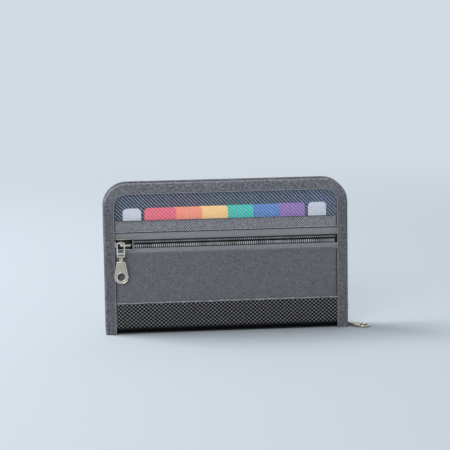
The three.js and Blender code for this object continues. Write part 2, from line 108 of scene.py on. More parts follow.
@dataclass(frozen=True, eq=False)
class Wire:
    """A number socket that takes part in Python arithmetic: each operator adds one Math node."""

    paint: Paint
    socket: bpy.types.NodeSocket

    __add__ = arithmetic("ADD")
    __radd__ = arithmetic("ADD", swapped=True)
    __sub__ = arithmetic("SUBTRACT")
    __rsub__ = arithmetic("SUBTRACT", swapped=True)
    __mul__ = arithmetic("MULTIPLY")
    __rmul__ = arithmetic("MULTIPLY", swapped=True)
    __truediv__ = arithmetic("DIVIDE")
    __pow__ = arithmetic("POWER")
    __abs__ = arithmetic("ABSOLUTE")
    sine = arithmetic("SINE")
    cosine = arithmetic("COSINE")
    fraction = arithmetic("FRACT")
    least = arithmetic("MINIMUM")
    most = arithmetic("MAXIMUM")

    def step(self, low: float, high: float) -> Wire:
        """Rises smoothly from 0 at low to 1 at high.

        Args:
            low: where the rise starts.
            high: where it ends; below low it falls instead.

        Returns:
            The smooth step.
        """
        settings = {"interpolation_type": "SMOOTHSTEP"}
        if low < high:
            return self.paint.node("ShaderNodeMapRange", settings, {"Value": self, "From Min": low, "From Max": high})
        return 1 - self.step(high, low)


class Paint:
    """Builds one material as a tree of nodes round a Principled BSDF."""

    def __init__(self, name: str) -> None:
        """Starts an empty material.

        Args:
            name: the material's name.
        """
        made = bpy.data.materials.new(name)
        made.use_nodes = True
        self.tree = made.node_tree
        self.tree.nodes.clear()

    def node(self, kind: str, settings: dict[str, object] | None = None, values: dict | None = None,
             result: int | str = 0) -> Wire:
        """Adds a node: its settings are set first, then its sockets get values or links.

        Args:
            kind: the node's type.
            settings: properties of the node; "stops" gives a ramp's places and colours.
            values: by socket name or number, a number, a colour, a vector or a Wire.
            result: the output that is wanted.

        Returns:
            That output.
        """
        made = self.tree.nodes.new(kind)
        for name, value in (settings or {}).items():
            if name == "stops":
                ramp = made.color_ramp
                while len(ramp.elements) < len(value):
                    ramp.elements.new(0.5)
                for element, (place, colour) in zip(ramp.elements, value):
                    element.position, element.color = place, colour
            else:
                setattr(made, name, value)
        for name, value in (values or {}).items():
            if isinstance(value, Wire):
                self.tree.links.new(value.socket, made.inputs[name])
            else:
                made.inputs[name].default_value = value
        return Wire(self, made.outputs[result])

    def split(self, vector: Wire) -> tuple[Wire, Wire, Wire]:
        """The three numbers of a vector."""
        outputs = self.node("ShaderNodeSeparateXYZ", None, {0: vector}).socket.node.outputs
        return Wire(self, outputs[0]), Wire(self, outputs[1]), Wire(self, outputs[2])

    def place(self) -> tuple[Wire, Wire, Wire, Wire]:
        """X, Y and Z of the point in the folder's frame, in millimetres, and the three as one vector."""
        at = self.scaled(self.node("ShaderNodeTexCoord", result="Object"), 1 / MM)
        return *self.split(at), at

    def track(self) -> tuple[Wire, Wire]:
        """The distances along and across the piece, in millimetres, from its own map."""
        along, across, _ = self.split(self.node("ShaderNodeUVMap", {"uv_map": Surface.MAP}))
        return along * Surface.MAP_SCALE, across * Surface.MAP_SCALE

    def noise(self, at: Wire | tuple[Number, Number, Number], pitch: float, detail: float = 2.0,
              rough: float = 0.5) -> Wire:
        """Soft random clouds, about 0.5 on average and as large as the pitch, in millimetres."""
        vector = at if isinstance(at, Wire) else self.node("ShaderNodeCombineXYZ", None, dict(enumerate(at)))
        return self.node("ShaderNodeTexNoise", None,
                         {"Vector": vector, "Scale": 1 / pitch, "Detail": detail, "Roughness": rough})

    def mix(self, share: Number, first: object, second: object) -> Wire:
        """Mixes two colours; share is how much of the second there is."""
        return self.node("ShaderNodeMix", {"data_type": "RGBA"}, {0: share, 6: first, 7: second}, 2)

    def scaled(self, vector: object, factor: Number) -> Wire:
        """A vector or a colour times a number."""
        return self.node("ShaderNodeVectorMath", {"operation": "SCALE"}, {0: vector, "Scale": factor})

    def bump(self, height: Wire, depth: float, strength: float = 0.5) -> Wire:
        """The normal of a relief, whose height of 1 is depth millimetres."""
        return self.node("ShaderNodeBump", None, {"Height": height, "Distance": depth * MM, "Strength": strength})

    def done(self, colour: object, rough: Number, normal: Wire | None = None, specular: float = 0.5,
             more: dict[str, object] | None = None) -> None:
        """Ends the material in a Principled BSDF.

        Args:
            colour: a colour or the Wire of one.
            rough: the roughness.
            normal: the normal of its relief.
            specular: how strong the reflection is.
            more: other values by socket name.
        """
        values = {"Base Color": colour, "Roughness": rough, "Specular IOR Level": specular} | (more or {})
        if normal is not None:
            values["Normal"] = normal
        self.end(self.node("ShaderNodeBsdfPrincipled", None, values))

    def end(self, shader: Wire) -> None:
        """Links a shader to the material's output."""
        made = self.tree.nodes.new("ShaderNodeOutputMaterial")
        self.tree.links.new(shader.socket, made.inputs["Surface"])


# Finishes ------------------------------------------------------------------------------------------


class Lie(Enum):
    """Which coordinates a pattern follows."""

    FRONT = "the folder's X and Z"
    SIDE = "the way round the folder's edge and Y"
    TRACK = "the piece's own map"


@dataclass(frozen=True)
class Finish:
    """One finish of the folder."""

    name: str
    slot: str

    def material(self) -> bpy.types.Material:
        """The finish's material, made when it is first used."""
        if self.name not in bpy.data.materials:
            self.paint(Paint(self.name))
        return bpy.data.materials[self.name]

    def paint(self, paint: Paint) -> None:
        """Fills the empty material. Each kind of finish has its own way."""
        raise NotImplementedError


@dataclass(frozen=True)
class Weave(Finish):
    """Plain-woven yarn. Threads cross at a pitch, over one and under one, so the height is
    the product of two sines, and its sign makes a chequer of raised floats."""

    yarn: str = "76757c"
    gap: str = "45444b"
    across: float = 0.75
    along: float = 0.75
    relief: float = 0.12
    calm: float = 0.35
    glint: float = 1.0
    patches: tuple[float, float] = (0.53, 0.66)
    speck: float = 0.2
    speck_size: float = 1.1
    mottle: float = 0.16
    # where painted shade darkens the cloth beside the bindings: from and to this |x|
    binding_shade: tuple[float, float] = (0.0, 0.0)
    # across the tape, where painted highlight lines run along its fold
    fold_highlight: tuple[float, ...] = ()
    top_light: float = 0.0
    top: tuple[float, float] = (97.0, 106.0)
    rough: float = 0.82
    lie: Lie = Lie.FRONT

    def paint(self, paint: Paint) -> None:
        """Yarn and gap colours by the crossing, with patches where the floats catch the light.

        Args:
            paint: the empty material.
        """
        x, _, z, at = paint.place()
        u, v = paint.track() if self.lie is Lie.TRACK else (x, z)
        crown = (u * (math.pi / self.across)).sine() * (v * (math.pi / self.along)).sine() * 0.5 + 0.5
        patch = paint.noise((u, v * 1.3, 0.0), 9.0, 1.0).step(*self.patches)
        slub = paint.noise((u * 0.12, v, 3.0), 0.8, 1.0) + paint.noise((u, v * 0.12, 9.0), 0.8, 1.0)
        drift = paint.noise(at, 14.0, 3.0)
        specks = paint.noise((u, v, 5.0), self.speck_size, 1.0)
        light = 1 + (slub - 1) * self.mottle * 1.6 + (drift - 0.5) * self.mottle + (specks - 0.5) * self.speck * 2
        # Painted shade: the cloth darkens beside the side bindings, in the gap under their flanges.
        if self.binding_shade[1]:
            light = light * (1 - abs(x).step(*self.binding_shade) * 0.72)
        # Painted highlight: a pale line along the binding's fold, where the fold catches the light.
        for line in self.fold_highlight:
            light = light * (1 + (abs(v - line) / 0.55).step(1.0, 0.2) * 0.3)
        if self.top_light:
            light = light * (1 + z.step(*self.top) * self.top_light)
        share = 0.5 + (crown - 0.5) * (self.calm + patch * (self.glint - self.calm))
        colour = paint.mix(share.least(1.0).most(0.0), tint(self.gap), tint(self.yarn))
        paint.done(paint.scaled(colour, light), self.rough - patch * crown * 0.2,
                   paint.bump(crown, self.relief, 0.6), specular=0.35)


@dataclass(frozen=True)
class Webbing(Finish):
    """Coarse two-tone webbing: grey floats stand on every other crossing of near-black yarn.
    The float is the product of two cosines of the distance along and down the strap."""

    ground: str = "040405"
    # the lighter colour of the lip at the bottom of the bend, which is painted bounce light from the table
    lip: str = "3d4042"
    float_tint: str = "86878a"
    column: float = 1.62
    row: float = 1.4
    fade: float = 5.2
    mesh: float = 0.3

    def paint(self, paint: Paint) -> None:
        """Grey floats over black, each with fine filaments, fading into a dark border near the fold; the lighter lip at
        the very bottom is painted light bounced from the table.

        Args:
            paint: the empty material.
        """
        u, v = paint.track()
        _, _, z, _ = paint.place()
        across, down = u * (math.pi / self.column), v * (math.pi / self.row)
        over = across.cosine() * down.cosine()
        link, counter = (abs((angle * 0.5).cosine()) for angle in (across + down, across - down))
        mesh = link.most(counter).step(0.8, 1.0) * self.mesh
        uneven = paint.noise((u, v, 0.0), 2.2, 2.0)
        bright = over.step(0.04, 0.72).most(mesh) * (0.42 + uneven * 1.1)
        border = z.step(self.fade - 1.8, self.fade + 1.6)
        filament = paint.noise((u * 0.25, v, 0.0), 0.16, 1.0)
        # Painted light: low on the bend the black ground turns to the lighter lip colour, standing for light bounced
        # from the table.
        ground = paint.mix(z.step(1.7, 0.9), tint(self.ground), tint(self.lip))
        colour = paint.mix(bright * border * (0.75 + filament * 0.5), ground, tint(self.float_tint))
        paint.done(colour, 0.7, paint.bump(over * 0.5 + 0.5 + filament * 0.12, 0.12), specular=0.08)


@dataclass(frozen=True)
class Ribbed(Finish):
    """Zip tape: fine ribs run along it, crossed by a shallow herringbone. On the pocket's front, painted shade darkens
    it under the teeth and under the band's hem.
    """

    yarn: str = "a0a0a5"
    gap: str = "6c6c71"
    pitch: float = 0.62
    shade: str = "0c0c0d"
    # where the painted shade under the teeth is centred, how far it reaches, and where the painted shadow under the
    # band's hem runs
    chain: float = 68.95
    teeth_shade_reach: tuple[float, float] = (3.4, 3.0)
    band_shadow_line: float = 77.7
    lie: Lie = Lie.FRONT

    def paint(self, paint: Paint) -> None:
        """The rib is a sine across the tape and the herringbone a sine along a zigzag.

        Args:
            paint: the empty material.
        """
        x, y, z, at = paint.place()
        u, v = (x, z) if self.lie is Lie.FRONT else (x + z, y)
        rib = (v * (2 * math.pi / self.pitch)).sine()
        zigzag = abs((v / (4 * self.pitch)).fraction() - 0.5) * 2.4
        chevron = ((u / 0.9 + zigzag) * (2 * math.pi)).sine()
        height = rib * 0.3 + chevron * 0.2 + 0.5
        light = 0.7 + paint.noise(at, 9.0, 3.0) * 0.16 + paint.noise(at, 0.9, 1.0) * 0.46
        colour = paint.scaled(paint.mix(height, tint(self.gap), tint(self.yarn)), light)
        # Painted shade: the tape turns near-black under and just beside the teeth, and along a line under the band's
        # hem.
        if self.lie is Lie.FRONT:
            shade_under_teeth = abs(z - self.chain).step(*self.teeth_shade_reach)
            shadow_under_band = (abs(z - self.band_shadow_line) / 0.5).step(1.3, 0.7)
            colour = paint.mix(shade_under_teeth.most(shadow_under_band * 0.85), colour, tint(self.shade))
        paint.done(colour, 0.85, paint.bump(height, 0.06), specular=0.3)


@dataclass(frozen=True)
class Moulded(Finish):
    """Smooth plastic or nylon with faint clouding and fine scuffs."""

    colour: str = "808080"
    rough: float = 0.4
    cloud: float = 0.12
    grain: float = 0.02
    size: float = 6.0
    glow: float = 0.0

    def paint(self, paint: Paint) -> None:
        """The colour varies with soft clouds, and the scuffs roughen it.

        Args:
            paint: the empty material.
        """
        *_, at = paint.place()
        colour = paint.scaled(tint(self.colour)[:3], 1 + (paint.noise(at, self.size, 3.0) - 0.5) * self.cloud)
        rough = self.rough + (paint.noise(at, 2.5, 4.0, 0.65) - 0.5) * 0.25
        # Painted light: the glow makes the piece give off its own colour, standing for the light that passes through
        # the tabs.
        glow = {"Emission Color": colour, "Emission Strength": self.glow} if self.glow else None
        paint.done(colour, rough, paint.bump(paint.noise(at, 0.5, 2.0), self.grain), more=glow)


@dataclass(frozen=True)
class Nylon(Finish):
    """Coil teeth with painted light: pale on their crests as a painted highlight, dark in the depth between the turns
    as painted shade.
    """

    # the pale painted highlight on the crests, and the painted shade deeper in
    colour: str = "c9cacd"
    deep: str = "19191b"
    face: float = -6.05
    upper_end: float = 71.4
    parting: float = 69.4
    upper_row_shade: float = 0.5

    def paint(self, paint: Paint) -> None:
        """Painted shade darkens the turn in the depth under the crest, under the tape's hem over the upper row and
        along the parting of the rows.

        Args:
            paint: the empty material.
        """
        x, y, z, at = paint.place()
        drift = paint.noise(at, 5.0, 2.0)
        uneven = paint.noise((x, 0.0, 0.0), 11.0, 2.0).step(0.36, 0.6)
        # Painted light: each turn is pale nearest the front and dark further in, dark above the upper row's end under
        # the hem, dimmer on the upper row and dark along the parting.
        crest = y.step(self.face - 0.75, self.face - 1.15) * z.step(self.upper_end + 0.5, self.upper_end - 0.3)
        upper = z.step(self.parting, self.parting + 0.3)
        parting_shade = abs(z - self.parting - 0.25).step(0.75, 0.45)
        crest = crest * (1.0 - upper * self.upper_row_shade) * (1.0 - parting_shade * 0.8) * (0.45 + uneven * 0.65)
        colour = paint.mix(crest * (0.6 + drift * 0.7), tint(self.deep), tint(self.colour))
        paint.done(colour, 0.3 + drift * 0.15)


@dataclass(frozen=True)
class Metal(Finish):
    """Plated zinc: warm satin nickel with fine die-cast grain and duller low spots, and where plate
    gives the middle of one, a painted dark reflection of that half size in X and Z on its face."""

    colour: str = "c9bfb1"
    dull: str = "8b8378"
    rough: float = 0.3
    plate: tuple[float, float, float] | None = None
    # the half size of the painted dark reflection, and its colour
    reflection_half: tuple[float, float] = (6.5, 3.8)
    dark_reflection_colour: str = "1b1b1c"

    def paint(self, paint: Paint) -> None:
        """Soft tarnish clouds darken and roughen the plating.

        Args:
            paint: the empty material.
        """
        x, y, z, at = paint.place()
        tarnish = paint.noise(at, 2.4, 3.0, 0.6).step(0.45, 0.8)
        fine = paint.noise(at, 0.22, 2.0)
        colour = paint.mix(tarnish * 0.55 + fine * 0.1, tint(self.colour), tint(self.dull))
        # Painted reflection: a dark patch on the slider's face stands for the dark surroundings that it mirrors.
        if self.plate:
            (middle, face, height), (half, rise) = self.plate, self.reflection_half
            inside = abs(x - middle).step(half, half - 0.25) * abs(z - height).step(rise, rise - 0.25)
            colour = paint.mix(inside * y.step(face - 0.5, face - 0.3), colour, tint(self.dark_reflection_colour))
        rough = self.rough + tarnish * 0.2 + (fine - 0.5) * 0.12
        paint.done(colour, rough, paint.bump(fine, 0.012, 0.6), more={"Metallic": 1.0})


@dataclass(frozen=True)
class Film(Finish):
    """Clear vinyl with a fine pale diagonal line embossed in it, running down to the right:
    along a line x + z is constant, so the line is a pulse of the fraction of (x + z) / pitch."""

    line: str = "e6e9f2"
    haze: str = "8ea2bb"
    pitch: float = 2.8
    clear_alpha: float = 0.005
    line_alpha: float = 0.18

    def paint(self, paint: Paint) -> None:
        """The lines are milky and the film between them almost clear.

        Args:
            paint: the empty material.
        """
        x, _, z, at = paint.place()
        wander = (paint.noise(at, 9.0, 2.0) - 0.5) * 0.25
        phase = ((x + z) / self.pitch + wander).fraction()
        pulse = (abs(phase - 0.5) * 2).step(0.82, 0.12)
        strength = 0.72 + paint.noise(at, 3.0, 2.0) * 0.5
        alpha = self.clear_alpha + pulse * strength * (self.line_alpha - self.clear_alpha)
        ripple = paint.noise((x, z * 1.6, 0.0), 16.0, 2.0)
        paint.done(paint.mix(pulse, tint(self.haze), tint(self.line)), 0.24,
                   paint.bump(ripple * 0.8 + pulse * 0.2, 0.5), more={"Alpha": alpha})


@dataclass(frozen=True)
class Sheeting(Finish):
    """Translucent sheet of the accordion: dark blue-grey with a fine vertical drawing grain."""

    colour: str = "3b5876"
    deep: str = "2b3f56"

    def paint(self, paint: Paint) -> None:
        """Clouds and drawn streaks vary the colour and the gloss.

        Args:
            paint: the empty material.
        """
        x, y, z, at = paint.place()
        streak = paint.noise((x, y, z * 0.08), 1.6, 2.0)
        share = (streak * 0.5 + paint.noise(at, 26.0, 2.0) * 0.6).least(1.0)
        colour = paint.mix(share, tint(self.deep), tint(self.colour))
        paint.done(colour, 0.34 + streak * 0.18, paint.bump(streak, 0.04))


@dataclass(frozen=True)
class TabLitLining(Finish):
    """Dark lining seen through the window, whose changes of hue along X are painted light: the colour that the tabs
    before it cast on it.
    """

    # dark tones along X, whose changes of hue are painted light from the tabs
    tones: tuple[tuple[float, str], ...] = ((-88.0, "3d5f84"), (-62.0, "3d4a68"), (-30.0, "474763"), (4.0, "2f5864"),
                                            (30.0, "35506c"), (60.0, "3b5274"), (88.0, "42608a"))
    grain: float = 0.45

    def paint(self, paint: Paint) -> None:
        """A ramp of dark tones along X, with painted coloured light from the tabs, and a fine woven grain.

        Args:
            paint: the empty material.
        """
        x, _, z, at = paint.place()
        low, high = self.tones[0][0], self.tones[-1][0]
        stops = [((place - low) / (high - low), tint(code)) for place, code in self.tones]
        wander = paint.noise(at, 18.0, 2.0) * 14 - 7
        tone = paint.node("ShaderNodeValToRGB", {"stops": stops}, {0: (x + wander - low) / (high - low)})
        grain = (x * (math.pi / self.grain)).sine() * (z * (math.pi / self.grain)).sine() * 0.5 + 0.5
        light = 0.8 + grain * 0.16 + paint.noise(at, 1.3, 2.0) * 0.3
        paint.done(paint.scaled(tone, light), 0.7, paint.bump(grain, 0.05))


@dataclass(frozen=True)
class Sweep(Finish):
    """Seamless pale paper: lit where the folder stands, even and shadowless further off."""

    colour: str = "d2dbe3"
    near: float = 330.0
    far: float = 900.0
    dim: float = 0.775

    def paint(self, paint: Paint) -> None:
        """Mixes the lit paper into a plain glow by the distance from the folder.

        Args:
            paint: the empty material.
        """
        x, y, z, at = paint.place()
        distance = (x * x + y * y * 0.6 + z * z) ** 0.5
        pale = paint.scaled(tint(self.colour)[:3], self.dim - 0.01 + paint.noise(at, 1.4, 2.0) * 0.02)
        lit = paint.node("ShaderNodeBsdfPrincipled", None,
                         {"Base Color": pale, "Roughness": 0.9, "Specular IOR Level": 0.1})
        glow = paint.node("ShaderNodeEmission", None, {"Color": tint(self.colour), "Strength": 1.0})
        share = distance.step(self.near, self.far)
        paint.end(paint.node("ShaderNodeMixShader", None, {0: share, 1: lit, 2: glow}))


class Finishes:
    """Every finish of the folder."""

    # Both cloths darken beside the bindings with painted shade.
    cloth = Weave("pocket_cloth", "cloth", yarn="89888f", gap="2f2e34", across=0.95, along=0.95, calm=0.4, glint=3.2,
                  speck=0.45, speck_size=1.5, binding_shade=(83.0, OPENING))
    band = Weave("band_cloth", "cloth", yarn="adacb4", gap="2b2a30", across=0.98, along=0.98, calm=0.6, glint=3.4,
                 patches=(0.42, 0.54), speck=0.6, speck_size=1.5, binding_shade=(83.0, OPENING))
    # The binding tape has a painted highlight along its fold and painted light towards its top.
    tape_weave = Weave("binding_weave", "binding", yarn="7f8087", gap="2c2d31", across=0.95, along=0.8, glint=1.6,
                       calm=0.7, speck=1.1, speck_size=1.6, mottle=0.3, fold_highlight=(7.6,), top_light=0.3, lie=Lie.TRACK)
    lip = Weave("pocket_lip", "cloth", yarn="96959c", gap="55545b", speck=0.6, mottle=0.4)
    edging = Weave("rolled_edge", "binding", yarn="a2a5ab", gap="6c6f75", across=0.9, along=0.5, speck=0.4,
                   mottle=0.3, lie=Lie.TRACK)
    webbing = Webbing("base_webbing", "weave")
    # Near-black as painted shade: where this lining shows between the rows of the pocket zip, it stands for the shade
    # inside the pocket.
    lining = Weave("lining_cloth", "lining", yarn="2c2d31", gap="17181b", across=0.4, along=0.4, glint=0.35,
                   calm=0.3, mottle=0.12)
    window_back = TabLitLining("tab_lit_lining", "lining")
    hem = Weave("hem_weave", "cloth", yarn="b4b4ba", gap="727279", across=0.9, along=0.5, glint=0.9, calm=0.6,
                speck=0.8, mottle=0.5)
    zip_tape = Ribbed("zip_tape", "tape")
    edge_tape = Ribbed("edge_zip_tape", "tape", yarn="6c6d72", gap="4a4b50", lie=Lie.SIDE)
    coil = Nylon("nylon_coil", "coil")
    edge_coil = Moulded("edge_nylon_coil", "coil", colour="6e7076", rough=0.36, cloud=0.3, size=5.0)
    # Near-black: painted dark reflection on the slider's cap and painted shade in the pull's bore.
    dark_reflection_and_shade = Moulded("dark_reflection_and_shade", "nickel", colour="0b0b0c", rough=0.16, cloud=0.2, grain=0.004)
    thread = Moulded("thread", "binding", colour="7b7d83", rough=0.55, cloud=0.3, grain=0.05, size=1.2)
    zip_thread = Moulded("zip_thread", "tape", colour="a4a4a8", rough=0.55, cloud=0.3, grain=0.05, size=1.2)
    nickel = Metal("satin_nickel", "nickel")
    # A lighter copy of the satin nickel: painted highlight on the links, the pull rims and the edge slider.
    highlit_nickel = Metal("highlit_nickel", "nickel", colour="f0e9dc", dull="b5ada0", rough=0.22)
    # The slider: a lighter copy of the nickel as painted highlight, with a painted dark reflection on its face.
    slider_nickel = Metal("slider_nickel", "nickel", colour="e6dfd2", dull="a39c90", rough=0.22, plate=POCKET_SLIDER)
    film = Film("window_vinyl", "film")
    sheeting = Sheeting("gusset_sheet", "leaf")
    board = Moulded("spine_card", "board", colour="4a4a4c", rough=0.8, grain=0.06)
    # The tabs glow with painted light in their own colour.
    tabs = {f"clear_tab_{side}": Moulded(f"milky_tab_{side}", "clear_tab", colour="ccd0dc", rough=0.38, cloud=0.14,
                                         glow=glow) for side, glow in (("left", 0.22), ("right", 0.35))}
    tabs |= {f"{hue}_tab": Moulded(f"{hue}_tab_sheet", hue, colour=colour, glow=glow)
             for hue, colour, glow in (("red", "e8566c", 0.26), ("orange", "fb8f6c", 0.27), ("yellow", "fbcb80", 0.32),
                                       ("green", "1cbdb0", 0.32), ("blue", "467cc4", 0.29), ("purple", "9068b6", 0.26))}
    paper = Sweep("studio_paper", "")


# Surfaces ------------------------------------------------------------------------------------------


def unit(vectors: np.ndarray) -> np.ndarray:
    """Vectors of length 1 in the same directions."""
    return vectors / np.linalg.norm(vectors, axis=-1, keepdims=True)


def lengths(path: np.ndarray) -> np.ndarray:
    """The distance from a path's first point to each of its points, along it."""
    return np.concatenate([[0], np.cumsum(np.linalg.norm(np.diff(path, axis=0), axis=1))])


def spots(*coordinates: np.ndarray | float) -> np.ndarray:
    """Coordinates, each a table or one number, as a table of points."""
    return np.stack(np.broadcast_arrays(*coordinates), -1)


@dataclass
class Surface:
    """Faces in millimetres, with the distances along and across the piece at each point."""

    points: np.ndarray
    quads: np.ndarray
    map: np.ndarray
    MAP = "weave"
    MAP_SCALE = 1000.0

    @classmethod
    def grid(cls, points: np.ndarray, along: np.ndarray, across: np.ndarray, around: bool = False) -> Surface:
        """A sheet of quads over a table of points.

        Args:
            points: rows by columns by three.
            along: distance of each row, in millimetres.
            across: distance of each column, in millimetres.
            around: joins the last column to the first.

        Returns:
            The sheet.
        """
        rows, columns = points.shape[:2]
        index = np.arange(rows * columns).reshape(rows, columns)
        if around:
            index = np.hstack([index, index[:, :1]])
        quads = np.stack([index[:-1, :-1], index[:-1, 1:], index[1:, 1:], index[1:, :-1]], -1).reshape(-1, 4)
        return cls(points.reshape(-1, 3), quads, spots(*np.meshgrid(along, across, indexing="ij")).reshape(-1, 2))

    @classmethod
    def slab(cls, front: np.ndarray, back: np.ndarray, along: np.ndarray, across: np.ndarray) -> Surface:
        """A closed sheet with thickness: two tables of points joined round their border.

        Args:
            front: rows by columns by three, the outer face.
            back: the same for the inner face.
            along: distance of each row, in millimetres.
            across: distance of each column, in millimetres.

        Returns:
            The closed sheet.
        """
        outer, inner = cls.grid(front, along, across), cls.grid(back, along, across)
        rows, columns = front.shape[:2]
        index = np.arange(rows * columns).reshape(rows, columns)
        border = np.concatenate([index[0, :-1], index[:-1, -1], index[-1, :0:-1], index[:0:-1, 0]])
        following = np.roll(border, -1)
        wall = np.stack([following, border, border + rows * columns, following + rows * columns], -1)
        quads = np.vstack([outer.quads, inner.quads[:, ::-1] + rows * columns, wall])
        return cls(np.vstack([outer.points, inner.points]), quads, np.vstack([outer.map, inner.map]))

    @classmethod
    def tube(cls, path: np.ndarray, radius: np.ndarray | float, side: np.ndarray, sides: int = 6) -> Surface:
        """A round tube along a path, closed at both ends.

        A ring's point is path + radius * (cos a * side + sin a * (tangent x side)) as a goes round.

        Args:
            path: points by three.
            radius: one for each point, or one for all; the ends shrink to a pole.
            side: a direction across the path, for each point or one for all.
            sides: points round the tube.

        Returns:
            The tube.
        """
        tangent = unit(np.gradient(path, axis=0))
        side = np.broadcast_to(side, path.shape)
        across = unit(side - tangent * np.sum(side * tangent, axis=1, keepdims=True))
        third = np.cross(tangent, across)
        path, across, third = (np.vstack([a[:1], a, a[-1:]]) for a in (path, across, third))
        radius = np.concatenate([[0.0], np.broadcast_to(radius, len(path) - 2), [0.0]])
        turn = np.arange(sides) * 2 * math.pi / sides
        rings = path[:, None] + radius[:, None, None] * (
            np.cos(turn)[None, :, None] * across[:, None] + np.sin(turn)[None, :, None] * third[:, None])
        return cls.grid(rings, lengths(path), turn, around=True)

    def repeated(self, frames: np.ndarray) -> Surface:
        """This shape at each of many places.

        Args:
            frames: places by four by four, as matrices.

        Returns:
            All the copies as one surface.
        """
        placed = np.einsum("kij,nj->kni", frames[:, :3, :3], self.points) + frames[:, None, :3, 3]
        count, each = len(frames), len(self.points)
        quads = (self.quads[None] + (np.arange(count) * each)[:, None, None]).reshape(-1, 4)
        return Surface(placed.reshape(-1, 3), quads, np.tile(self.map, (count, 1)))

    def joined(self, *others: Surface) -> Surface:
        """This and other surfaces as one.

        Args:
            others: the other surfaces.

        Returns:
            The whole.
        """
        parts = [self, *others]
        starts = np.cumsum([0, *(len(p.points) for p in parts[:-1])])
        return Surface(np.vstack([p.points for p in parts]),
                       np.vstack([p.quads + start for p, start in zip(parts, starts)]),
                       np.vstack([p.map for p in parts]))

    def mesh(self, name: str) -> bpy.types.Mesh:
        """The surface as a Blender mesh in metres, with poles merged and faces outwards.

        Args:
            name: the mesh's name.

        Returns:
            The mesh.
        """
        made = bpy.data.meshes.new(name)
        made.vertices.add(len(self.points))
        made.vertices.foreach_set("co", (self.points * MM).astype(np.float32).ravel())
        made.loops.add(self.quads.size)
        made.loops.foreach_set("vertex_index", self.quads.astype(np.int32).ravel())
        made.polygons.add(len(self.quads))
        made.polygons.foreach_set("loop_start", np.arange(0, self.quads.size, 4, dtype=np.int32))
        made.update(calc_edges=True)
        layer = made.uv_layers.new(name=self.MAP)
        layer.data.foreach_set("uv", (self.map[self.quads.ravel()] / self.MAP_SCALE).astype(np.float32).ravel())
        heal(made)
        return made

    def piece(self, name: str, finish: Finish, body: str = "folder", replaces: Sequence[str] = (),
              crease: float = 50.0) -> bpy.types.Object:
        """The surface as a finished piece of the folder, with what settle takes."""
        return settle(name, self.mesh(name), finish, body, replaces, crease)


def heal(mesh: bpy.types.Mesh, distance: float = 1e-7) -> None:
    """Merges doubled points and turns all faces outwards.

    Args:
        mesh: the mesh to mend.
        distance: points this close are one, in metres.
    """
    work = bmesh.new()
    work.from_mesh(mesh)
    bmesh.ops.remove_doubles(work, verts=work.verts, dist=distance)
    bmesh.ops.recalc_face_normals(work, faces=work.faces)
    work.to_mesh(mesh)
    work.free()
    mesh.update()


def added(name: str, data: bpy.types.ID) -> bpy.types.Object:
    """Puts a new object in the scene."""
    made = bpy.data.objects.new(name, data)
    bpy.context.scene.collection.objects.link(made)
    return made


def dress(node: str, finish: Finish) -> None:
    """Gives a piece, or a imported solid, its finish.

    Args:
        node: its name.
        finish: what it is made of.
    """
    made = bpy.data.objects[node]
    made.data.materials.clear()
    made.data.materials.append(finish.material())
    LOG.info("%s: %d faces in %s", node, len(made.data.polygons), finish.name)


def settle(name: str, mesh: bpy.types.Mesh, finish: Finish, body: str, replaces: Sequence[str] = (),
           crease: float = 50.0) -> bpy.types.Object:
    """Makes a piece of the folder: shades it, lets it ride on its body and gives it its finish.

    Args:
        name: the piece's name.
        mesh: its form, in its place.
        finish: what it is made of.
        body: the moving body that it rides on.
        replaces: the plain solids that it stands for.
        crease: edges that bend more than this many degrees stay sharp.

    Returns:
        The piece.
    """
    made = added(name, mesh)
    mesh.polygons.foreach_set("use_smooth", np.ones(len(mesh.polygons), dtype=bool))
    mesh.set_sharp_from_angle(angle=math.radians(crease))
    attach(made, body)
    dress(name, finish)
    if replaces:
        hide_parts(*replaces)
    return made


def frames_at(origin: np.ndarray, x_axis: np.ndarray, y_axis: np.ndarray, z_axis: np.ndarray) -> np.ndarray:
    """Matrices whose columns are the given axes and places.

    Args:
        origin: places by three, in millimetres.
        x_axis: direction of each place's own X.
        y_axis: direction of its Y.
        z_axis: direction of its Z.

    Returns:
        Places by four by four.
    """
    made = np.zeros((len(origin), 4, 4))
    for column, values in enumerate((x_axis, y_axis, z_axis, origin)):
        made[:, :3, column] = values
    made[:, 3, 3] = 1
    return made


def clouds(values: np.ndarray, seed: int, waves: int = 6) -> np.ndarray:
    """A smooth random curve: the mean of sines whose wavelengths and shifts come from a seed.

    Args:
        values: where, in units of the longest wave.
        seed: picks the curve.
        waves: how many sines.

    Returns:
        Values from about -1 to 1.
    """
    chance = np.random.default_rng(seed)
    pitch = 2 * math.pi * (1 + chance.random(waves) * 5)
    shift = chance.random(waves) * 2 * math.pi
    weight = 1 / np.sqrt(pitch)
    return (np.sin(values[..., None] * pitch + shift) * weight).sum(-1) / weight.sum() * 1.8


# Sub-assemblies ------------------------------------------------------------------------------------


def bracket(half: float, rise: float, radius: float, step: float) -> tuple[np.ndarray, np.ndarray, np.ndarray]:
    """An arch: up one leg, over a quarter round, across, over a quarter round and down the other leg.

    Along a straight run the place moves with the distance; on a corner it is
    centre + radius * (cos, sin) of the distance divided by the radius.

    Args:
        half: half the arch's width.
        rise: the height of its straight legs.
        radius: of its two corners.
        step: spacing of its points.

    Returns:
        Places (across, above the feet), outward directions and distances.
    """
    arc = radius * math.pi / 2
    length = 2 * (rise + arc + half - radius)
    s = np.linspace(0, length, int(length / step) + 1)
    side = np.where(s > length / 2, -1.0, 1.0)
    t = np.minimum(s, length - s)
    turn = np.clip((t - rise) / radius, 0, math.pi / 2)
    x = radius - half - radius * np.cos(turn) + np.clip(t - rise - arc, 0, None)
    up = np.minimum(t, rise) + radius * np.sin(turn)
    return spots(x * side, up), spots(-np.cos(turn) * side, np.sin(turn)), s


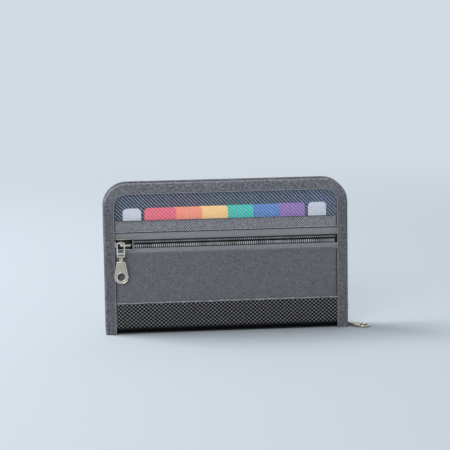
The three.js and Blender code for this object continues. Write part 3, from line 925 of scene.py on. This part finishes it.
@dataclass
class Outline:
    """The folder's rounded outline, which its bindings and edge zip follow."""

    width: float = 185.0
    height: float = 115.0
    radius: float = 18.0

    def arch(self, inset: float, foot: float, step: float = 1.0) -> tuple[np.ndarray, np.ndarray, np.ndarray]:
        """The line from the left foot over both rounded corners to the right foot.

        Args:
            inset: how far inside the outline it runs.
            foot: where it starts and ends, above the surface.
            step: spacing of its points.

        Returns:
            Places (X, Z), outward directions (X, Z) and distances.
        """
        radius = self.radius - inset
        rise = self.height - inset - radius - foot
        places, outward, s = bracket(self.width / 2 - inset, rise, radius, step)
        return places + [0.0, foot], outward, s


@dataclass
class Stitching:
    """A row of lockstitches: each is a short thread that dips into the cloth at both ends."""

    length: float = 2.3
    pitch: float = 3.0
    thickness: float = 0.34

    def stitch(self) -> Surface:
        """One stitch along X, standing out along Z: its height is a half sine of the way along it.

        Returns:
            A bent tube.
        """
        t = np.linspace(0, 1, 6)
        swell = np.sin(t * math.pi)
        return Surface.tube(spots((t - 0.5) * self.length, 0, 0.22 * swell - 0.08),
                            self.thickness / 2 * (0.7 + 0.3 * swell), Y_AXIS)

    def along(self, places: np.ndarray, directions: np.ndarray, outward: np.ndarray, seed: int) -> Surface:
        """A row of stitches.

        Args:
            places: where each stitch's middle is.
            directions: which way it runs, for each stitch or one for all.
            outward: the cloth's face there, as a direction.
            seed: picks each stitch's slight turn.

        Returns:
            The whole row.
        """
        lean = (np.random.default_rng(seed).random(len(places))[:, None] - 0.5) * 0.12
        x_axis = unit(directions + np.cross(outward, directions) * lean)
        return self.stitch().repeated(frames_at(places, x_axis, np.cross(outward, x_axis), outward))


@dataclass
class Binding:
    """Tape folded over a cover's edge, with a soft round fold, a rolled inner edge and a stitch row."""

    name: str
    outer: float
    inner: float
    outline: Outline
    width: float = 8.0
    tape: float = 0.5
    fold: float = 1.1
    relief: float = 1.75
    seam: float = 6.3
    seam_foot: float = 2.0
    bead: float = 0.33
    seed: int = 4

    @property
    def sign(self) -> float:
        """1 where the cover's inner face lies behind its outer face, else -1."""
        return math.copysign(1.0, self.inner - self.outer)

    def profile(self) -> tuple[np.ndarray, np.ndarray, np.ndarray]:
        """The folded tape cut across: outer flange, quarter-round fold, wall, fold, inner flange.

        Returns:
            Outer points, inner points (distance from the edge, Y) and the distance along the tape.
        """
        depth = abs(self.inner - self.outer)
        flat = np.linspace(self.width, self.fold, 12)
        turn = np.linspace(0, math.pi / 2, 6)[1:-1]
        wall = np.linspace(self.fold, depth - self.fold, 4)
        d = np.concatenate([flat, self.fold * (1 - np.sin(turn))])
        y = np.concatenate([0 * flat, self.fold * (1 - np.cos(turn))])
        outer = spots(np.concatenate([d, 0 * wall, d[::-1]]), np.concatenate([y, wall, depth - y[::-1]]))
        tangent = unit(np.gradient(outer, axis=0))
        inner = outer + self.tape * spots(tangent[:, 1], -tangent[:, 0])
        length = lengths(outer)
        for table in (outer, inner):
            table[:, 1] = self.outer + self.sign * table[:, 1]
        return outer, inner, length

    def tables(self) -> tuple[np.ndarray, np.ndarray, np.ndarray, np.ndarray]:
        """Carries the profile along the arch: place - outward * distance, with faint puckers.

        Returns:
            Outer and inner tables of points, and the distances along and across.
        """
        places, outward, s = self.outline.arch(0, 0)
        outer, inner, across = self.profile()
        flange = np.clip(np.abs(outer[:, 0]) / self.width, 0, 1) ** 2
        front = outer[:, 1] * self.sign < (self.outer + self.inner) / 2 * self.sign
        pucker = 0.1 + clouds(s / 60, self.seed) * 0.1 + clouds(s / 9, self.seed + 1) * 0.05
        tables = []
        for profile in (outer, inner):
            x, z = (places[:, :, None] - outward[:, :, None] * profile[:, 0]).transpose(1, 0, 2)
            y = profile[:, 1] - self.sign * np.where(front, flange, 0) * pucker[:, None]
            tables.append(spots(x, y, np.where(front, z, np.maximum(z, self.relief))))
        return tables[0], tables[1], s, across

    def build(self) -> None:
        """Makes the folded tape, its stitches and its rolled edge."""
        Surface.slab(*self.tables()).piece(self.name + "_tape", Finishes.tape_weave, replaces=[self.name], crease=60)
        places, outward, _ = self.outline.arch(self.seam, self.seam_foot, Stitching.pitch)
        row = Stitching().along(spots(places[:, 0], self.outer - self.sign * 0.1, places[:, 1]),
                                spots(outward[:, 1], 0, -outward[:, 0]), -self.sign * Y_AXIS, self.seed)
        row.piece(self.name + "_stitches", Finishes.thread)
        places, _, s = self.outline.arch(self.width - 0.25, 0.4)
        y = self.outer - self.sign * (0.12 + 0.06 * clouds(s / 40, self.seed))
        roll = Surface.tube(spots(places[:, 0], y, places[:, 1]), self.bead, Y_AXIS, 8)
        roll.piece(self.name + "_rolled_edge", Finishes.edging)


@dataclass
class Panel:
    """A cloth panel that lies in the binding, with a folded hem along one or both long edges."""

    name: str
    low: float
    high: float
    finish: Finish
    face: float = -6.7
    half: float = 91.6
    flat_half: float = 82.0
    ply: float = 0.5
    hems: tuple[float, ...] = ()
    pale_edge: float = 0.0
    hem: float = 2.2
    swell: float = 0.22
    bead: float = 0.34
    seam_half: float = 83.0
    seed: int = 11

    def height(self, x: np.ndarray, z: np.ndarray) -> np.ndarray:
        """How far the cloth stands out: slow waves, plus a step at each folded hem.

        Args:
            x: places along the panel.
            z: places up the panel.

        Returns:
            The height over the flat ply.
        """
        slow = clouds(x / 120 + z / 90, self.seed) * clouds(z / 70 - x / 200, self.seed + 1)
        middle = np.clip(1 - (np.abs(x) / self.flat_half) ** 6, 0, 1)
        made = self.swell * slow * middle
        for edge in self.hems:
            inside = np.abs(z - edge) / self.hem
            made = made + 0.16 / (1 + np.exp((inside - 1) * 14)) + 0.04 * np.cos(np.clip(inside, 0, 1) * math.pi)
        return made

    def build(self) -> None:
        """Makes the panel, and a stitch row and a rolled lip at each hem."""
        x = np.linspace(-self.half, self.half, 150)
        z = np.unique(np.concatenate([np.linspace(self.low, self.high, 24),
                                      *[np.clip(edge + np.linspace(-1.3, 1.3, 17) * self.hem, self.low, self.high)
                                        for edge in self.hems]]))
        grid_x, grid_z = np.meshgrid(x, z, indexing="ij")
        lift = self.height(grid_x, grid_z)
        front = spots(grid_x, self.face - lift, grid_z)
        back = spots(grid_x, self.face + self.ply + np.minimum(-lift, 0) * 0.9, grid_z)
        Surface.slab(front, back, x, z).piece(self.name + "_cloth", self.finish, replaces=[self.name], crease=60)
        stitching = Stitching(length=1.9, pitch=2.6, thickness=0.3)
        s = np.arange(-self.seam_half, self.seam_half, stitching.pitch)
        for number, edge in enumerate(self.hems):
            way = 1.0 if edge == self.low else -1.0
            height = np.full(len(s), edge + way * self.hem * 0.75)
            places = spots(s, self.face - self.height(s, height) - 0.02, height)
            stitching.along(places, X_AXIS, -Y_AXIS, self.seed + number).piece(
                f"{self.name}_stitches_{number + 1}", Finishes.thread)
            lip = Finishes.hem if edge == self.pale_edge else Finishes.lip
            self.roll(edge, way).piece(f"{self.name}_rolled_edge_{number + 1}", lip)

    def roll(self, edge: float, way: float) -> Surface:
        """The rolled lip of a hem: a thin tube along the edge, whose thickness wanders slightly.

        Args:
            edge: the height of the hem's edge.
            way: 1 where the cloth is above the edge, -1 where it is below.

        Returns:
            The lip.
        """
        t = np.linspace(-OPENING, OPENING, 240)
        z = edge + way * 0.3 + 0.06 * clouds(t / 30, self.seed + 5)
        path = spots(t, self.face - self.height(t, z) - 0.02, z)
        return Surface.tube(path, self.bead + 0.05 * clouds(t / 9, self.seed + 6), Z_AXIS, 8)


@dataclass
class Window:
    """The clear film over the index tabs, slightly slack in its frame."""

    outline: Outline
    face: float = -6.7
    thickness: float = 0.3
    foot: float = 84.0
    taut: float = 107.0
    half: float = 90.0
    inset: float = 0.9
    slack: float = 0.3
    seed: int = 31

    def build(self) -> None:
        """A sheet whose left and right ends follow the arch: at each height x spans the arch's width."""
        top = self.outline.height - self.inset
        radius = self.outline.radius - self.inset
        z = np.concatenate([np.linspace(self.foot, top - radius, 14),
                            top - radius + radius * np.sin(np.linspace(0, math.pi / 2, 16)[1:])])
        reach = self.outline.width / 2 - self.inset - radius + np.sqrt(
            np.clip(radius**2 - np.clip(z - top + radius, 0, None) ** 2, 0, None))
        t = np.linspace(-1, 1, 120)
        waves = clouds(t[:, None] * reach / 80 + z / 60, self.seed) * np.clip(1 - np.abs(t[:, None]) ** 8, 0, 1)
        slack = self.slack * waves * np.sin(np.clip((z - self.foot) / (self.taut - self.foot), 0, 1) * math.pi)
        front = spots(t[:, None] * reach, self.face - slack, z)
        Surface.slab(front, front + self.thickness * Y_AXIS, t * self.half, z).piece(
            "window_sheet", Finishes.film, replaces=["window_film"], crease=60)


@dataclass
class Base:
    """One strap of webbing folded under the folder: front wall, floor and back wall."""

    face: float = 7.35
    height: float = 23.6
    bend: float = 4.0
    wall: float = 0.5
    half: float = 89.2
    column: float = Webbing.column
    row: float = Webbing.row
    relief: float = 0.3
    border: float = 0.6
    hem: float = 0.5

    def profile(self) -> tuple[np.ndarray, np.ndarray, np.ndarray]:
        """The strap cut across, down the front and up the back: (Y, Z), outward directions and distances."""
        places, outward, s = bracket(self.face, self.height - self.bend, self.bend, 0.4 * self.row)
        return places * [1, -1] + [0, self.height], outward * [1, -1], s

    def build(self) -> None:
        """Makes the strap with a float raised on every other crossing, and the hem that ends it."""
        places, outward, s = self.profile()
        x = np.linspace(-self.half, self.half, int(2 * self.half / (0.4 * self.column)) + 1)
        over = np.cos(math.pi * x / self.column) * np.cos(math.pi * s[:, None] / self.row)
        rise = np.clip((places[:, 1] - 2.0) / self.bend, 0, 1)
        walls = rise * np.clip((self.height - places[:, 1]) / self.border, 0, 1)
        open_face = np.clip((OPENING + 0.05 - np.abs(x)) / self.border, 0, 1)
        lift = self.relief * np.clip(over, 0, 1) ** 0.8 * walls[:, None] * open_face
        front, back = (spots(x, places[:, :1] + outward[:, :1] * out, places[:, 1:] + outward[:, 1:] * out)
                       for out in (lift, np.full_like(lift, -self.wall)))
        strap = Surface.slab(front, back, s, x)
        strap.map = strap.map[:, ::-1]
        strap.piece("base_strap", Finishes.webbing, replaces=["woven_base"], crease=70)
        t = np.linspace(0.1 - OPENING, OPENING - 0.1, 260)
        thick = self.hem + 0.16 * clouds(t / 12, 5) + 0.08 * clouds(t / 4, 6)
        for name, sign in (("front", -1.0), ("back", 1.0)):
            path = spots(t, sign * (self.face - 0.05), self.height + 0.2 + 0.14 * clouds(t / 40, 7))
            Surface.tube(path, thick, Z_AXIS, 10).piece(f"strap_hem_{name}", Finishes.hem)


@dataclass
class Chain:
    """Nylon coil teeth: each turn rises from the tape, reaches over to the chain's middle and returns."""

    pitch: float = 1.5
    foot: float = 2.7
    head: float = 0.7
    crest: float = 1.45
    wire: float = 0.33

    def turn(self) -> Surface:
        """One turn: X along the chain, Y from the chain's middle to the tape, Z out of the tape.

        Returns:
            A bent tube that swells at its head.
        """
        r = self.wire
        high, low = self.crest - r, r + 0.05
        shape = np.array([
            [0.0, self.foot, low + 0.1], [0.0, self.foot, high - 0.15], [0.0, self.foot - 0.3, high],
            [0.05, (self.foot + self.head) / 2, high], [0.1, self.head + 0.2, high], [0.14, self.head, high - 0.2],
            [0.2, self.head, low + 0.2], [0.35, self.head + 0.4, low], [self.pitch - 0.1, self.foot - 0.2, low]])
        radius = np.array([r * 0.8, r, r, r, r * 1.15, r * 1.3, r * 1.15, r, r * 0.8])
        return Surface.tube(shape, radius, np.array([1.0, 0.02, 0.01]), 6)

    def lockstitch(self, path: np.ndarray, out: np.ndarray, away: np.ndarray) -> Surface:
        """The thread over a path of four points to each turn: it rises and dips as a cosine."""
        height = self.crest + 0.02 + 0.12 * np.cos(np.arange(len(path)) * math.pi / 2)
        return Surface.tube(path + away * 1.5 + out * height[:, None], 0.15, out, 5)


@dataclass
class PocketZip:
    """The straight zip of the front pocket."""

    face: float = Nylon.face
    middle: float = 69.3
    chain: Chain = field(default_factory=Chain)

    def build(self) -> None:
        """Makes both rows of teeth with their sewing thread, the lower row half a pitch on."""
        pitch = self.chain.pitch
        for name, side, shift in (("upper", 1.0, 0.0), ("lower", -1.0, 0.5)):
            x = np.arange(0.5 - OPENING + shift * pitch, OPENING - pitch, pitch)
            frames = frames_at(spots(x, self.face, self.middle), X_AXIS, side * Z_AXIS, -Y_AXIS)
            self.chain.turn().repeated(frames).piece(f"pocket_teeth_{name}", Finishes.coil,
                                                     replaces=[f"pocket_coil_{name}"], crease=60)
            path = spots(np.arange(x[0], x[-1], pitch / 4), self.face, self.middle)
            self.chain.lockstitch(path, -Y_AXIS, side * Z_AXIS).piece(f"pocket_coil_thread_{name}",
                                                                      Finishes.zip_thread)
            dress(f"pocket_tape_{name}", Finishes.zip_tape)


@dataclass
class EdgeZip:
    """The zip that runs up the left edge, over the top and down the right edge."""

    outline: Outline
    inset: float = 5.7
    foot: float = 3.0
    middle: float = 0.975
    chain: Chain = field(default_factory=lambda: Chain(head=0.0, wire=0.37))

    def build(self) -> None:
        """Makes both rows of teeth along the arch, facing out of the folder."""
        places, outward, _ = self.outline.arch(self.inset, self.foot, self.chain.pitch)
        out = spots(outward[:, 0], 0, outward[:, 1])[:-1]
        along = spots(outward[:, 1], 0, -outward[:, 0])[:-1]
        origin = spots(places[:, 0], self.middle, places[:, 1])[:-1]
        for name, side, shift in (("front", -1.0, 0.0), ("back", 1.0, 0.5)):
            frames = frames_at(origin + along * shift * self.chain.pitch, along, side * Y_AXIS, out)
            self.chain.turn().repeated(frames).piece(f"edge_teeth_{name}", Finishes.edge_coil,
                                                     replaces=[f"edge_coil_{name}"], crease=60)
            dress(f"edge_tape_{name}", Finishes.edge_tape)


@dataclass
class Hardware:
    """A slider with its link and pull: smooth-edged castings, the pull in satin nickel and the link in a lighter copy
    of it that is painted highlight.
    """

    name: str
    slider: Finish
    edge: float = 0.16

    def build(self) -> None:
        """Copies each solid, merges its loose faces and rounds its edges with a bevel."""
        # The link's lighter nickel is painted highlight.
        finishes = {"slider": self.slider, "link": Finishes.highlit_nickel, "pull": Finishes.nickel}
        for part, finish in finishes.items():
            node = f"{self.name}_{part}"
            mesh = bpy.data.objects[node].data.copy()
            mesh.name = node + "_casting"
            heal(mesh, 1e-6)
            bevel = settle(mesh.name, mesh, finish, node, [node], crease=30).modifiers.new("rounded edges", "BEVEL")
            bevel.width = self.edge * MM
            bevel.segments = 2
            bevel.limit_method = "ANGLE"
            bevel.angle_limit = math.radians(35)
            bevel.harden_normals = True


@dataclass
class Turned:
    """A small round form that points forward: each profile point (radius, height) makes one ring,
    centre - height * Y + radius * (cos a * X + sin a * Z), stretched along X and along Z."""

    centre: tuple[float, float, float]
    stretch: tuple[float, float]
    sides: int

    def surface(self, profile: Sequence[tuple[float, float]]) -> Surface:
        """Turns a profile, from one pole to the other.

        Args:
            profile: radius and height of each ring.

        Returns:
            The round form.
        """
        (x, y, z), (wide, tall) = self.centre, self.stretch
        radius, height = np.array(profile).T[:, :, None]
        turn = np.arange(self.sides) * 2 * math.pi / self.sides
        rings = spots(x + radius * np.cos(turn) * wide, y - height, z + radius * np.sin(turn) * tall)
        return Surface.grid(rings, np.arange(len(profile)), turn, around=True)


@dataclass
class PocketTrim:
    """What shows on the pocket's hardware besides the castings: a dark domed cap on the slider, which is
    a painted dark reflection, and the pierced boss on the pull's eye, with a dark bore of painted shade."""

    slider: tuple[float, float, float] = POCKET_SLIDER
    eye: tuple[float, float, float] = POCKET_EYE
    rise: float = 0.62

    def build(self) -> None:
        """Turns the cap of painted dark reflection, the boss and its dark bore of painted shade. The cap's height
        is its rise times the root of 1 less the radius to the power 2.6."""
        r = np.linspace(1, 0, 9)
        dome = [(0.0, -0.3), (1.0, -0.3), *spots(r, self.rise * np.sqrt(1 - r**2.6))]
        boss = [(0.0, 0.9), (1.0, 0.9), (1.04, 1.46), (0.94, 1.64), (0.78, 1.68), (0.6, 1.6), (0.52, 1.3), (0.0, 1.3)]
        bore = [(0.0, 1.25), (0.54, 1.25), (0.56, 1.5), (0.0, 1.5)]
        for name, body, centre, stretch, sides, profile, finish in (
                ("slider_dark_reflection", "slider", self.slider, (5.6, 3.45), 40, dome, Finishes.dark_reflection_and_shade),
                ("pull_boss", "pull", self.eye, (1.0, 1.0), 24, boss, Finishes.nickel),
                ("pull_bore_shade", "pull", self.eye, (1.0, 1.0), 20, bore, Finishes.dark_reflection_and_shade)):
            Turned(centre, stretch, sides).surface(profile).piece(f"pocket_{name}", finish, f"pocket_{body}")


@dataclass
class PullRim:
    """The raised rim round a pull's plate and round the hole in its ring, in lighter nickel as a painted highlight."""

    name: str
    eye: tuple[float, float, float]
    yaw: float = 90.0
    lean: float = 0.0
    twist: float = 0.0
    top_half: float = 3.4
    shoulder: float = 3.7
    ring_at: float = 15.4
    ring: float = 5.25
    hole: float = 2.95
    plate: float = 1.0
    bead: float = 0.26

    def outline(self) -> np.ndarray:
        """The plate's outline in its own X and Y: down the left flank, round the ring, up the right.

        Returns:
            Points of the open line, from the left shoulder to the right one.
        """
        turn = np.linspace(math.pi * 0.98, math.pi * 2.02, 36)
        r = self.ring - self.bead
        arc = spots(r * np.cos(turn), r * np.sin(turn) - self.ring_at)
        top = np.array([[-self.top_half + self.bead, -self.shoulder - 0.9]])
        flank = top + (arc[:1] - top) * np.linspace(0, 1, 9)[:-1, None]
        head = spots([0.0, -self.top_half + 0.9], -self.shoulder - self.bead)
        left = np.vstack([head, flank])
        return np.vstack([left, arc, left[::-1] * [-1, 1]])

    def frame(self) -> np.ndarray:
        """The pull's own axes in the folder's frame: turned by the yaw, leant back and twisted.

        Returns:
            One place, by four by four.
        """
        yaw, lean, twist = (math.radians(v) for v in (self.yaw, self.lean, self.twist))
        hung = np.array([[math.sin(yaw), 0, math.cos(yaw)], [math.cos(yaw), 0, -math.sin(yaw)], [0, 1, 0]])
        tip = np.array([[1, 0, 0], [0, math.cos(lean), math.sin(lean)], [0, -math.sin(lean), math.cos(lean)]])
        spin = np.array([[math.cos(twist), math.sin(twist), 0], [-math.sin(twist), math.cos(twist), 0], [0, 0, 1]])
        made = np.eye(4)
        made[:3, :3] = hung @ tip @ spin
        made[:3, 3] = self.eye
        return made[None]

    def build(self) -> None:
        """Lays a bead along the outline and one round the hole, on both faces of the plate."""
        turn = np.linspace(0, 2 * math.pi, 33)
        r = self.hole + self.bead
        ring = spots(r * np.cos(turn), r * np.sin(turn) - self.ring_at)
        beads = [Surface.tube(np.column_stack([line, np.full(len(line), face * (self.plate / 2 - 0.06))]), self.bead,
                              Z_AXIS, 8) for line in (self.outline(), ring) for face in (-1.0, 1.0)]
        beads[0].joined(*beads[1:]).repeated(self.frame()).piece(self.name + "_rim", Finishes.highlit_nickel, self.name)


@dataclass
class Accordion:
    """Dividers, index tabs and folded gussets behind the window."""

    leaves: int = 8

    def build(self) -> None:
        """Dresses the sheets and the tabs."""
        for number in range(self.leaves):
            dress(f"divider_{number + 1}", Finishes.sheeting)
        for side in ("left", "right", "floor"):
            dress(f"bellows_{side}", Finishes.sheeting)
        for name, finish in Finishes.tabs.items():
            dress(name, finish)


@dataclass(frozen=True)
class Lamp:
    """A square soft light that faces the folder: its place and side in millimetres, its power in watts."""

    name: str
    place: tuple[float, float, float]
    size: float
    power: float

    def hang(self) -> None:
        """Hangs the lamp with its back turned away from the folder's middle."""
        data = bpy.data.lights.new(self.name, "AREA")
        data.shape, data.size, data.energy = "SQUARE", self.size * MM, self.power
        back = unit(np.array(self.place) - 50.0 * Z_AXIS)
        right = unit(np.cross(Z_AXIS, back))
        stand(self.name, data, np.array(self.place), (right, np.cross(back, right), back))


def stand(name: str, data: bpy.types.ID, place: np.ndarray, axes: Sequence[np.ndarray]) -> bpy.types.Object:
    """Puts a camera or a light in the scene.

    Args:
        name: its name.
        data: the camera or light.
        place: where it stands, in millimetres.
        axes: its right, its up and its back.

    Returns:
        The object.
    """
    made = added(name, data)
    made.matrix_world = Matrix(frames_at(place[None] * MM, *axes)[0].tolist())
    return made


@dataclass
class Studio:
    """Camera at the photograph's angle, pale paper sweep and plain soft light."""

    elevation: float = 9.0
    azimuth: float = -5.22
    roll: float = 0.89
    distance: float = 1450.0
    focal: float = 1916.4 / 450 * 36
    aim: tuple[float, float, float] = (-0.6, -3.7, 81.1)
    wall_at: float = 1500.0
    wall_radius: float = 900.0
    wall_top: float = 3600.0
    floor_rows: tuple[float, ...] = (-2600.0, -900.0, -300.0, 0.0, 300.0, 900.0)
    paper_half: float = 3200.0
    room: str = "f2f5f8"
    ambient: float = 0.44
    lamps: tuple[Lamp, ...] = (Lamp("key", (-1300.0, 450.0, 1600.0), 1100.0, 44.0),
                               Lamp("fill", (-1000.0, -2200.0, 1100.0), 1500.0, 27.0))

    def camera(self) -> None:
        """Places the camera: back is the direction from the folder to it, and right and up are turned
        about back by the roll."""
        e, a, r = (math.radians(v) for v in (self.elevation, self.azimuth, self.roll))
        back = np.array([math.sin(a) * math.cos(e), -math.cos(a) * math.cos(e), math.sin(e)])
        right = np.array([math.cos(a), math.sin(a), 0.0])
        up = np.cross(back, right)
        axes = (right * math.cos(r) - up * math.sin(r), right * math.sin(r) + up * math.cos(r), back)
        data = bpy.data.cameras.new("camera")
        data.lens, data.sensor_width, data.clip_start = self.focal, 36.0, 0.05
        bpy.context.scene.camera = stand("camera", data, np.array(self.aim) + back * self.distance, axes)

    def paper(self) -> None:
        """A floor that turns up into a wall: flat, then a quarter round, then upright."""
        turn = np.linspace(0, math.pi / 2, 24)
        r = self.wall_radius
        y = np.concatenate([self.floor_rows, self.wall_at + r * np.sin(turn), [self.wall_at + r]])
        z = np.concatenate([np.zeros(len(self.floor_rows)), r - r * np.cos(turn), [self.wall_top]])
        x = np.linspace(-self.paper_half, self.paper_half, 17)
        made = added("studio_paper", Surface.grid(spots(x[:, None], y, z), x, y).mesh("studio_paper"))
        made.data.materials.append(Finishes.paper.material())

    def light(self) -> None:
        """An even pale room and two soft lights, the stronger one from the upper left."""
        world = bpy.data.worlds.new("room")
        world.use_nodes = True
        shade = world.node_tree.nodes["Background"]
        shade.inputs["Color"].default_value = tint(self.room)
        shade.inputs["Strength"].default_value = self.ambient
        bpy.context.scene.world = world
        for lamp in self.lamps:
            lamp.hang()
        bpy.context.scene.view_settings.view_transform = "Standard"

    def build(self) -> None:
        """Camera first, then the paper and the light."""
        self.camera()
        self.paper()
        self.light()


def main() -> None:
    """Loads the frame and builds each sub-assembly."""
    logging.basicConfig(level=logging.INFO, format="%(message)s")
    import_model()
    outline = Outline()
    Studio().build()
    Binding("front_binding", outer=-8.0, inner=-3.35, outline=outline).build()
    Binding("back_binding", outer=8.0, inner=5.3, outline=outline, fold=0.9, seed=9).build()
    Window(outline).build()
    Panel("window_band", low=78.1, high=86.35, finish=Finishes.band, hems=(78.1, 86.35), pale_edge=78.1,
          seed=21).build()
    Panel("pocket_panel", low=4.0, high=62.0, finish=Finishes.cloth, hems=(62.0,), seed=12).build()
    for node, finish in {"back_panel": Finishes.cloth, "front_lining": Finishes.lining,
                         "back_lining": Finishes.window_back, "spine_board": Finishes.board}.items():
        dress(node, finish)
    Base().build()
    PocketZip().build()
    EdgeZip(outline).build()
    Accordion().build()
    Hardware("pocket", Finishes.slider_nickel).build()
    PocketTrim().build()
    PullRim("pocket_pull", POCKET_EYE).build()
    Hardware("edge", Finishes.highlit_nickel).build()
    PullRim("edge_pull", EDGE_EYE, yaw=25.0, lean=85.0, twist=10.0).build()


if __name__ == "__main__":
    main()
